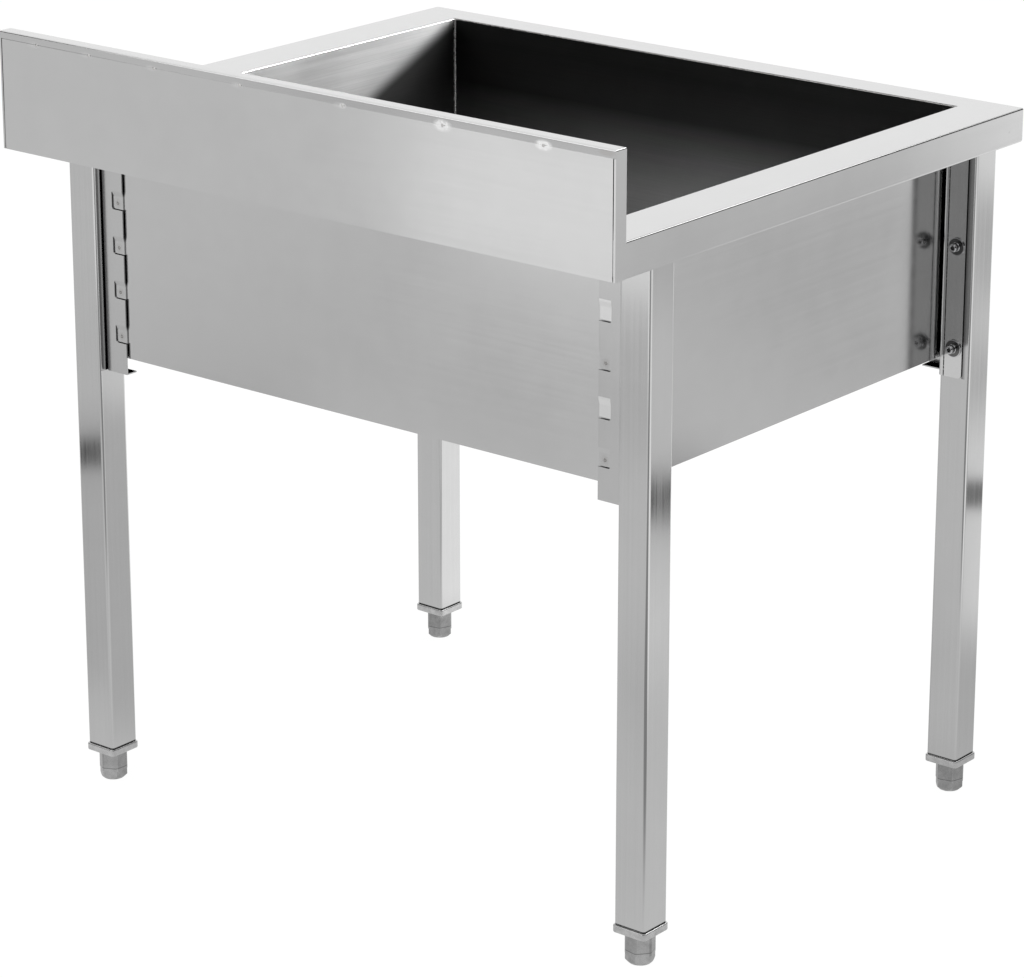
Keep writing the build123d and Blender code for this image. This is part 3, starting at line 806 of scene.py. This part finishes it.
class SINK_OT_rim(Operator):
    """Finish the rim and upstand and lay the tacks along the upstand's back seam"""

    bl_idname = "sink.rim"
    bl_label = "Rim and upstand"

    def execute(self, context):
        sheet, weld = context.scene.sink_sheet, context.scene.sink_weld
        finish = sheet.rim, sheet.rim_roughness, sheet, "X"
        dress(sheet_steel("rim_sheet", *finish, "X", marks=seam_marks_and_painted_light(sheet, True)), "rim_top")
        dress(sheet_steel("cover_sheet", *finish, marks=seam_marks_and_painted_light(sheet, False)), "upstand_cover")
        # tacks: low domes, h = tack_height * (1 - s^2), each with its own ragged outline
        seam = seam_height()
        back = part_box("rim_top")[1].y
        angles = circle(20)
        steps = np.linspace(0.02, 1.0, 6)
        height = weld.tack_height * (1 - steps**2) - 0.0001
        tacks = []
        for number, x in enumerate(TACKS):
            edge = 1 + 0.16 * np.sin(2 * angles + number) + 0.1 * np.sin(5 * angles + 2 * number)
            dome = lathe(steps[:, None] * weld.tack * edge, height, angles)
            tacks.append(place(dome, (x, back, seam), (1, 0, 0), (0, 1, 0)))
        bead = turned_metal("weld_tack", sheet.weld, 0.3, 900.0)
        piece("seam_tacks", tacks, bead, "sink")
        return {"FINISHED"}


class SINK_OT_bowl(Operator):
    """Finish the bowl's walls and floor and weld its corners"""

    bl_idname = "sink.bowl"
    bl_label = "Bowl"

    def execute(self, context):
        sheet, weld = context.scene.sink_sheet, context.scene.sink_weld
        left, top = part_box("bowl_left_wall")[1].xz
        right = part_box("bowl_right_wall")[0].x
        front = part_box("bowl_front_wall")[1].y
        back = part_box("bowl_back_wall")[0].y
        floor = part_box("bowl_floor")[1].z
        # inside, the front and back walls get a painted shade and the end walls a painted reflection
        tones = long_wall_shade(low=0.67, middle=0.775, high=0.83)
        long_wall = sheet.bowl_painted_shade, sheet.inside_roughness, tones
        end_wall = sheet.bowl_light, sheet.inside_roughness, end_wall_reflection(right, front, top)
        for name, axis, sign, along, (inner, roughness, marks) in (
            ("bowl_front_wall", "Y", 1, "X", long_wall),
            ("bowl_back_wall", "Y", -1, "X", long_wall),
            ("bowl_left_wall", "X", 1, "Y", end_wall),
            ("bowl_right_wall", "X", -1, "Y", end_wall),
            ("bowl_floor", "Z", 1, "X", (sheet.bowl_light, 0.5, None)),
        ):
            steel = sheet_steel(
                f"{name}_sheet", sheet.bowl_outside, sheet.bowl_roughness, sheet, along,
                inside=(axis, sign, inner, roughness), marks=marks, spread_across=0.5,
            )
            dress(steel, name)
        # hollow fillet: a quarter circle from one sheet to the other, closed behind the corner
        bend = np.linspace(0, math.pi / 2, 7)
        hollow = np.stack([1 - np.sin(bend), 1 - np.cos(bend)], -1)
        profile = np.concatenate([hollow, [[-0.05, -0.05]]]) * weld.bead
        sides_x, sides_y = ((left, 1), (right, -1)), ((front, 1), (back, -1))
        corner = turned_metal("weld_bead", sheet.weld, 0.26, 700.0)
        beads = [
            self.bead(profile, (x, y, floor), (x, y, top), (inward_x, 0, 0), (0, inward_y, 0), weld)
            for x, inward_x in sides_x
            for y, inward_y in sides_y
        ]
        piece("bowl_corner_welds", beads, corner, "sink")
        beads = [
            self.bead(profile, (left, y, floor), (right, y, floor), (0, inward, 0), (0, 0, 1), weld)
            for y, inward in sides_y
        ]
        beads += [
            self.bead(profile, (x, front, floor), (x, back, floor), (inward, 0, 0), (0, 0, 1), weld)
            for x, inward in sides_x
        ]
        piece("bowl_floor_welds", beads, corner, "sink")
        # rounded edge where the walls meet the rim: a small circle carried round the mouth
        outwards = np.array([(-1, -1, 0), (1, -1, 0), (1, 1, 0), (-1, 1, 0), (-1, -1, 0)], float)
        edge = np.where(outwards > 0, (right, back, top), (left, front, top))
        turn = circle(8)
        round_profile = np.stack([np.cos(turn), np.sin(turn)], -1) * weld.mouth
        mouth = carry(round_profile, edge, outwards, np.array([0, 0, 1.0]))
        piece("bowl_mouth_weld", [mouth], corner, "sink", open_ends=True)
        return {"FINISHED"}

    @staticmethod
    def bead(profile, start, end, first, second, weld):
        """A weld bead from start to end: its width swells by 12 % at each ripple."""
        start, end = np.array(start, float), np.array(end, float)
        run = np.linalg.norm(end - start)
        steps = np.linspace(0, 1, int(run / weld.ripple_pitch) * 4 + 1)
        size = 0.94 + 0.12 * np.abs(np.sin(math.pi * steps * run / weld.ripple_pitch))
        size = size + 0.05 * np.sin(steps * run * 90.0)
        path = start + steps[:, None] * (end - start)
        return carry(profile, path, np.array(first, float), np.array(second, float), size)


class SINK_OT_legs(Operator):
    """Finish the square legs"""

    bl_idname = "sink.legs"
    bl_label = "Legs"

    def execute(self, context):
        sheet = context.scene.sink_sheet
        tube = sheet_steel(
            "leg_tube", sheet.leg, sheet.leg_roughness, sheet, "Z",
            marks=leg_shading(sheet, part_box("leg_back_left"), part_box("bracket_back_left")),
            streak=(0.0035, 0.6, 0.02), spread_across=0.5,
        )
        dress(tube, *(f"leg_{corner}" for corner in CORNERS))
        return {"FINISHED"}


class SINK_OT_brackets(Operator):
    """Finish the leg brackets and mark their spot welds"""

    bl_idname = "sink.brackets"
    bl_label = "Brackets"

    def execute(self, context):
        sheet, weld = context.scene.sink_sheet, context.scene.sink_weld
        tab_x = -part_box("leg_back_left")[1].x - WELD_FLANGE + TAB_WIDTH / 2
        # each spot weld lies 3 mm below the middle of its tab
        heights = bracket_middle() + TAB_PITCH * (np.arange(5) - 2) - 0.003
        steel = sheet_steel(
            "bracket_sheet", sheet.bracket, sheet.bracket_roughness, sheet, "Z",
            marks=bracket_marks_and_painted_light(sheet, tab_x, heights),
        )
        dress(steel, *(f"bracket_{corner}" for corner in CORNERS))
        # spot welds: a shallow ring with a dimple, h = spot_depth * exp(-((r - 0.75) / 0.22)^2), with r
        # in spot radii
        steps = np.linspace(0.05, 1.25, 12)
        ring = np.exp(-(((steps - 0.75) / 0.22) ** 2)) * weld.spot_depth - 0.00002
        nugget = lathe(steps * weld.spot, ring, circle(24))
        grids = []
        for corner in CORNERS:
            side_x, side_y = leg_sides(corner)
            face = leg_face(corner) - side_y * (FLANGE_SETBACK + TAB_DEPTH)
            # the two tabs that carry the painted highlight get no spot weld
            rubbed = heights[1::2] if corner == "back_left" else ()
            for z in heights:
                if z not in rubbed:
                    grids.append(place(nugget, (side_x * tab_x, face, z), (1, 0, 0), (0, side_y, 0)))
        burnt = turned_metal("weld_spot", sheet.heat, 0.4, 900.0)
        piece("bracket_spot_welds", grids, burnt, "sink")
        return {"FINISHED"}


class SINK_OT_screws(Operator):
    """Build the socket screws and split washers that hold the legs"""

    bl_idname = "sink.screws"
    bl_label = "Screws and washers"

    def execute(self, context):
        size, fitting = context.scene.sink_screw, context.scene.sink_fitting
        places = self.places()
        bright = fastener_steel(fitting)
        # a black cone in each socket, a painted shade for the socket's hollow
        socket_shade = rubber("socket_painted_shade", (0.02, 0.02, 0.02))
        for name, grid, material, replaced, sharp in (
            ("socket_screws", self.screw(size), bright, ["leg_screws"], 25.0),
            ("socket_bottoms", self.socket_bottom(size), socket_shade, [], 35.0),
            ("split_washers", self.split_washer(size), bright, ["leg_spring_washers"], 30.0),
        ):
            grids = [place(grid, *where) for where in places]
            piece(name, grids, material, "sink", replaced, sharp)
        # the dark flat washers get a painted highlight round their edge
        marks = washer_highlight(places[1][0], size.washer_highlight_edge, fitting.fastener)
        washer = turned_metal("washer_steel", fitting.washer, 0.16, 1800.0, marks=marks)
        dress(washer, "leg_washers", "leg_weld_nuts")
        return {"FINISHED"}

    @staticmethod
    def screw(size):
        """A socket screw, turned: thread, knurled head and six-sided socket.

        The knurl takes knurl * (1 + cos(knurls * angle)) / 2 off the head's radius."""
        angles = circle(72)
        base = size.washer + size.spring
        top = base + size.head_height
        run = np.linspace(-size.below, base - 0.0004, 60)
        thread = thread_radius(
            run, angles, size.shank, 0.0005, size.pitch, size.pitch - size.below, base - 0.001
        )
        thread[0] = size.shank - 0.0008
        knurled = size.head - size.knurl * (0.5 + 0.5 * np.cos(size.knurls * angles))
        socket = polygon_radius(angles, size.socket)
        rows = [
            (size.shank, base - 0.0003),
            (size.head - 0.0003, base),
            (size.head - 0.0001, base + 0.0003),
            (knurled, base + 0.0006),
            (knurled, top - 0.0011),
            (size.head - 0.00015, top - 0.0009),
            (size.head - 0.0002, top - 0.0004),
            (size.head - 0.0006, top),
            (0.6 * size.socket, top),
            (socket, top - 0.0003),
            (socket, top - size.socket_depth),
            (0.0004, top - size.socket_depth - 0.0008),
        ]
        radii, heights = zip(*rows)
        return lathe(np.concatenate([thread, rows_of(radii, angles)]), np.append(run, heights), angles)

    @staticmethod
    def socket_bottom(size):
        """A painted shade at the bottom of a socket: a low black cone."""
        steps = np.linspace(0.05, 0.98, 4)
        level = size.washer + size.spring + size.head_height - 0.0013
        return lathe(steps * size.socket / 2, level - 0.0004 * steps, circle(24))

    @staticmethod
    def split_washer(size):
        """An oblong with cut corners carried round most of a circle."""
        inner, outer = size.shank + 0.00008, size.spring_radius
        half, tall, cut = (outer - inner) / 2, size.spring, 0.00025
        section = np.array([
            (cut - half, 0), (half - cut, 0), (half, cut), (half, tall - cut),
            (half - cut, tall), (cut - half, tall), (-half, tall - cut), (-half, cut),
        ])
        turn = np.linspace(size.spring_gap / 2, 2 * math.pi - size.spring_gap / 2, 64)
        outwards = np.stack([np.cos(turn), np.sin(turn), 0 * turn], -1)
        path = outwards * (inner + outer) / 2 + np.array([0, 0, size.washer])
        return carry(section, path, outwards, np.array([0, 0, 1.0]))

    @staticmethod
    def places():
        """Origin, X direction and axis of each screw, on the face of its bracket."""
        middle = bracket_middle() + 0.003
        found = []
        for corner in CORNERS:
            side_x, side_y = leg_sides(corner)
            leg_low, leg_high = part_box(f"leg_{corner}")
            x = side_x * (min(abs(leg_low.x), abs(leg_high.x)) - BRACKET_SHEET + 0.0205)
            y = leg_face(corner) - side_y * (leg_high.y - leg_low.y + BRACKET_SHEET)
            for step in (-1, 0, 1):
                found.append(((x, y, middle + SCREW_PITCH * step), (1, 0, 0), (0, -side_y, 0)))
        return found


class SINK_OT_feet(Operator):
    """Finish the plugs and feet and thread the feet's studs"""

    bl_idname = "sink.feet"
    bl_label = "Plugs, feet and studs"

    def execute(self, context):
        fitting, thread = context.scene.sink_fitting, context.scene.sink_thread
        flats_top, leg_foot = 0.0155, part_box("leg_back_left")[0].z
        cast = cast_metal("cast_foot", fitting.foot, uneven=0.2, step_height=flats_top)
        rubbed = cast_metal("rubbed_plug", fitting.plug, dark_above=leg_foot - 0.0008)
        angles = circle(36)
        for corner in CORNERS:
            dress(cast, f"foot_{corner}")
            dress(rubbed, f"plug_{corner}")
            low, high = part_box(f"foot_stud_{corner}")
            outer, tall = (high.x - low.x) / 2, high.z - low.z
            run = np.arange(0.0, tall, thread.stud_pitch / 8)
            # the foot hides the first 18 mm, which stay plain, and the end is bevelled by 1 mm
            radius = thread_radius(run, angles, outer, thread.stud_depth, thread.stud_pitch, 0.018, tall)
            radius = np.minimum(radius, (outer - 0.001 + tall - run)[:, None])
            middle = np.array([(low.x + high.x) / 2, (low.y + high.y) / 2, low.z])
            stud = lathe(radius, run, angles) + middle
            piece(f"threaded_stud_{corner}", [stud], fastener_steel(fitting), f"{corner}_foot",
                  [f"foot_stud_{corner}"], 25.0)
        return {"FINISHED"}


class SINK_OT_waste(Operator):
    """Build the threaded waste and its nut, and finish the strainer and seals"""

    bl_idname = "sink.waste"
    bl_label = "Waste fitting"

    def execute(self, context):
        fitting, thread = context.scene.sink_fitting, context.scene.sink_thread
        low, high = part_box("waste_body")
        axis = np.array([(low.x + high.x) / 2, (low.y + high.y) / 2, 0])
        polished = turned_metal("polished_waste", fitting.waste, 0.16, 1500.0, tuple(axis))
        dress(polished, "strainer_basket")
        dress(rubber("black_rubber", fitting.rubber), "waste_upper_seal", "waste_lower_seal")
        for name, grid, replaced, sharp in (
            ("waste_fitting", self.turned_body(low.z, high.z, thread), "waste_body", 30.0),
            ("waste_nut", self.nut(*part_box("waste_locknut")), "waste_locknut", 25.0),
        ):
            piece(name, [grid + axis], polished, "sink", [replaced], sharp, True)
        return {"FINISHED"}

    @staticmethod
    def turned_body(bottom, top, thread):
        """The waste, turned: up the tail's thread, over the cup and flange, and down through the bore."""
        tail_radius, cup, flange = 0.0239, 0.0350, 0.0440
        cup_bore, tail_bore, cup_floor = 0.0335, 0.0200, top - 0.0220
        tail_end = bottom + 0.042
        start = [(tail_bore + 0.0004, bottom), (0.0226, bottom), (0.0230, bottom + 0.0003)]
        rest = [
            (cup, top - 0.0240),
            (cup, top - 0.0020),
            (flange - 0.0003, top - 0.0020),
            (flange, top - 0.0017),
            (flange, top - 0.0010),
            (flange - 0.0003, top - 0.0006),
            (0.0365, top),
            (cup_bore, top - 0.003),
            (cup_bore, cup_floor + 0.0005),
            (cup_bore - 0.0005, cup_floor),
            (tail_bore + 0.0005, cup_floor),
            (tail_bore, cup_floor - 0.0005),
            (tail_bore, bottom + 0.0004),
            (tail_bore + 0.0004, bottom),
        ]
        angles = circle(96)
        run = np.arange(bottom + 0.0006, tail_end, thread.tail_pitch / 8)
        threaded = thread_radius(
            run, angles, tail_radius, thread.tail_depth, thread.tail_pitch, bottom, tail_end
        )
        (start_radii, start_heights), (radii, heights) = zip(*start), zip(*rest)
        radius = np.concatenate([rows_of(start_radii, angles), threaded, rows_of(radii, angles)])
        return lathe(radius, np.concatenate([start_heights, run, heights]), angles)

    @staticmethod
    def nut(low, high):
        """The locknut: a hexagon whose corners are cut back by a cone above and below, and its bore."""
        across, depth = high.y - low.y, high.z - low.z
        bore, bevel = 0.0351, 0.0006
        angles = circle(96)
        level = np.array([0.0, 0.10, 0.22, 0.78, 0.90, 1.0]) * depth
        cone = across / 2 + np.minimum(level, depth - level)[:, None] * 2.2
        sides = np.minimum(polygon_radius(angles, across), cone)
        radius = rows_of([bore + bevel, *sides, bore + bevel, bore, bore, bore + bevel], angles)
        height = np.concatenate([[0], level, [depth, depth - bevel, bevel, 0]]) + low.z
        return lathe(radius, height, angles)


class SINK_OT_stage(Operator):
    """Set the floor, the soft light and the camera"""

    bl_idname = "sink.stage"
    bl_label = "Stage"

    def execute(self, context):
        stage = context.scene.sink_stage
        self.floor(stage)
        self.world(context.scene)
        box = self.lamp("overhead_box", (-0.6, 0.4, 3.2), (0, 0, 0.6), (3.2, 3.2), stage.box_light)
        box.visible_glossy = False
        self.lamp("fold_strip", (-0.96, -2.36, 2.83), (0, 0, 0.9), (1.6, 0.5), stage.strip_light)
        # cards: bright things that the upstand, its fold and the rim's folds mirror
        self.card("low_card", (-0.6, 2.25, 0.06), (1.44, 2.25, 0.5), 1.02)
        self.card("bowl_card", (-0.15, -1.05, 0.95), (-0.15, -0.36, 1.35), 12.0)
        self.card("fold_card", (-0.6, 2.25, 1.05), (2.2, 2.25, 2.3), 1.3)
        self.camera(context.scene, stage)
        context.scene.view_settings.view_transform = "Standard"
        return {"FINISHED"}

    @staticmethod
    def aim(made, origin, direction):
        """Put a camera or lamp at origin, looking in a direction."""
        made.location = origin
        made.rotation_mode = "QUATERNION"
        made.rotation_quaternion = direction.to_track_quat("-Z", "Y")

    @staticmethod
    def flat_sheet(name, corners, material):
        """A flat sheet between four corners that belongs to the studio."""
        mesh = bpy.data.meshes.new(name)
        mesh.from_pydata(corners, [], [(0, 1, 2, 3)])
        mesh.materials.append(material)
        made = add_object(name, mesh)
        return made

    def camera(self, scene, stage):
        """The camera that takes the photo's view, from behind and to the user's left."""
        data = bpy.data.cameras.new("camera")
        data.lens = stage.focal_length
        data.sensor_width = 36.0
        data.shift_y = stage.shift
        data.clip_end = 100.0
        turn, dip = stage.camera_azimuth, stage.camera_elevation
        look = Vector((math.sin(turn) * math.cos(dip), -math.cos(turn) * math.cos(dip), -math.sin(dip)))
        scene.camera = add_object("camera", data)
        self.aim(scene.camera, stage.camera_place, look)

    def floor(self, stage):
        """A wide pale floor with the sink's shadow on it. The steel mirrors boards that lie on it."""
        material, shader, where, _ = blank("pale_floor")
        tree = where.tree
        paint = mix_colour(noise(where, 0.8), stage.floor, [part * 0.98 for part in stage.floor])
        tree.links.new(paint.socket, shader.inputs["Base Color"])
        shader.inputs["Roughness"].default_value = 0.9
        shader.inputs["Specular IOR Level"].default_value = 0.0
        # boards round the sink, which only the steel sees
        level = stage.floor_mirrored
        for x, y, half_u, half_v, turn, soft, brightness in BOARDS:
            inputs = {"Vector": where, "Center": (x, y, 0), "Angle": -math.radians(turn)}
            u, v, _ = result(tree, "VectorRotate", inputs, rotation_type="Z_AXIS").axes()
            side_u = abs(u - x).spread(1.0, 0.0, half_u - soft, half_u + soft, smooth=True)
            side_v = abs(v - y).spread(1.0, 0.0, half_v - soft, half_v + soft, smooth=True)
            level = (side_u * side_v).choose(level, brightness)
        # the camera sees it nearly white, and what mirrors it sees the boards
        path = add_node(tree, "LightPath").outputs
        seen = Value(path["Is Camera Ray"]) * 0.94
        lit = result(tree, "MixShader", {0: seen, 1: Value(shader.outputs[0]), 2: glow(tree, 1.04)})
        mirror = Value(path["Is Glossy Ray"]).sum("MAXIMUM", Value(path["Is Transmission Ray"]))
        show(add_node(tree, "MixShader", {0: mirror, 1: lit, 2: glow(tree, level)}))
        side = 40.0
        corners = [(-side, -side, 0), (side, -side, 0), (side, side, 0), (-side, side, 0)]
        self.flat_sheet("floor", corners, material)

    @staticmethod
    def world(scene):
        """White to the camera. As light, brighter beyond the front of the sink and dimmer overhead."""
        world = bpy.data.worlds.new("studio")
        scene.world = world
        world.use_nodes = True
        tree = world.node_tree
        tree.nodes.clear()
        direction = Value(add_node(tree, "TexCoord").outputs["Generated"])
        x, y, z = direction.axes()
        beyond = y.spread(1.02, 0.04, -0.4, 0.35, smooth=True)
        beyond = beyond * x.spread(0.08, 1.0, -0.4, -0.05, smooth=True)
        beyond = z.spread(0.0, 1.0, 0.42, 0.62, smooth=True).choose(beyond, 1.0)
        above = z.spread(1.0, 0.7, 0.25, 0.9, smooth=True)
        # dim round the camera
        behind = direction.vector_sum("DOT_PRODUCT", (-0.63, 0.77, 0.1), output="Value")
        light = beyond * above * behind.spread(1.0, 0.4, 0.8, 0.95, smooth=True)
        camera_ray = Value(add_node(tree, "LightPath").outputs["Is Camera Ray"])
        inputs = {"Color": (1, 1, 1, 1), "Strength": camera_ray.choose(light, 1.0)}
        add_node(tree, "OutputWorld", {0: result(tree, "Background", inputs)})

    def lamp(self, name, origin, target, size, power):
        """A soft box at origin, turned to target."""
        data = bpy.data.lights.new(name, "AREA")
        data.shape = "RECTANGLE"
        data.size, data.size_y = size
        data.energy = power
        made = add_object(name, data)
        self.aim(made, origin, Vector(target) - Vector(origin))
        made.visible_camera = False
        return made

    def card(self, name, low, high, brightness):
        """An upright white card between two corners, which only the steel sees, and from one side."""
        material, _, where, _ = blank(f"{name}_white")
        tree = where.tree
        behind = Value(add_node(tree, "NewGeometry").outputs["Backfacing"])
        sides = {0: behind, 1: glow(tree, brightness), 2: result(tree, "BsdfTransparent")}
        show(add_node(tree, "MixShader", sides))
        (x0, y0, z0), (x1, y1, z1) = low, high
        made = self.flat_sheet(name, [(x0, y0, z0), (x1, y1, z0), (x1, y1, z1), (x0, y0, z1)], material)
        made.visible_camera = made.visible_diffuse = made.visible_shadow = False


OPERATORS = (
    SINK_OT_rim, SINK_OT_bowl, SINK_OT_legs, SINK_OT_brackets, SINK_OT_screws, SINK_OT_feet,
    SINK_OT_waste, SINK_OT_stage,
)
SETTINGS = {
    "sink_sheet": SinkSheetSettings,
    "sink_fitting": SinkFittingSettings,
    "sink_screw": SinkScrewSettings,
    "sink_thread": SinkThreadSettings,
    "sink_weld": SinkWeldSettings,
    "sink_stage": SinkStageSettings,
}


class SINK_PT_panel(Panel):
    """The sink's steps and settings"""

    bl_idname = "SINK_PT_panel"
    bl_label = "Sink"
    bl_space_type = "VIEW_3D"
    bl_region_type = "UI"
    bl_category = "Sink"

    def draw(self, context):
        for operator in OPERATORS:
            self.layout.operator(operator.bl_idname)
        for name, group in SETTINGS.items():
            box = self.layout.box()
            for key in group.__annotations__:
                box.prop(getattr(context.scene, name), key)


def register():
    """Register the settings, steps and panel."""
    for name, group in SETTINGS.items():
        bpy.utils.register_class(group)
        setattr(bpy.types.Scene, name, PointerProperty(type=group))
    for step in OPERATORS:
        bpy.utils.register_class(step)
    bpy.utils.register_class(SINK_PT_panel)


def unregister():
    """Remove what register added."""
    bpy.utils.unregister_class(SINK_PT_panel)
    for step in reversed(OPERATORS):
        bpy.utils.unregister_class(step)
    for name, group in SETTINGS.items():
        delattr(bpy.types.Scene, name)
        bpy.utils.unregister_class(group)


def main():
    """Register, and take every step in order."""
    register()
    for step in OPERATORS:
        group, name = step.bl_idname.split(".")
        getattr(getattr(bpy.ops, group), name)()


if __name__ == "__main__":
    main()
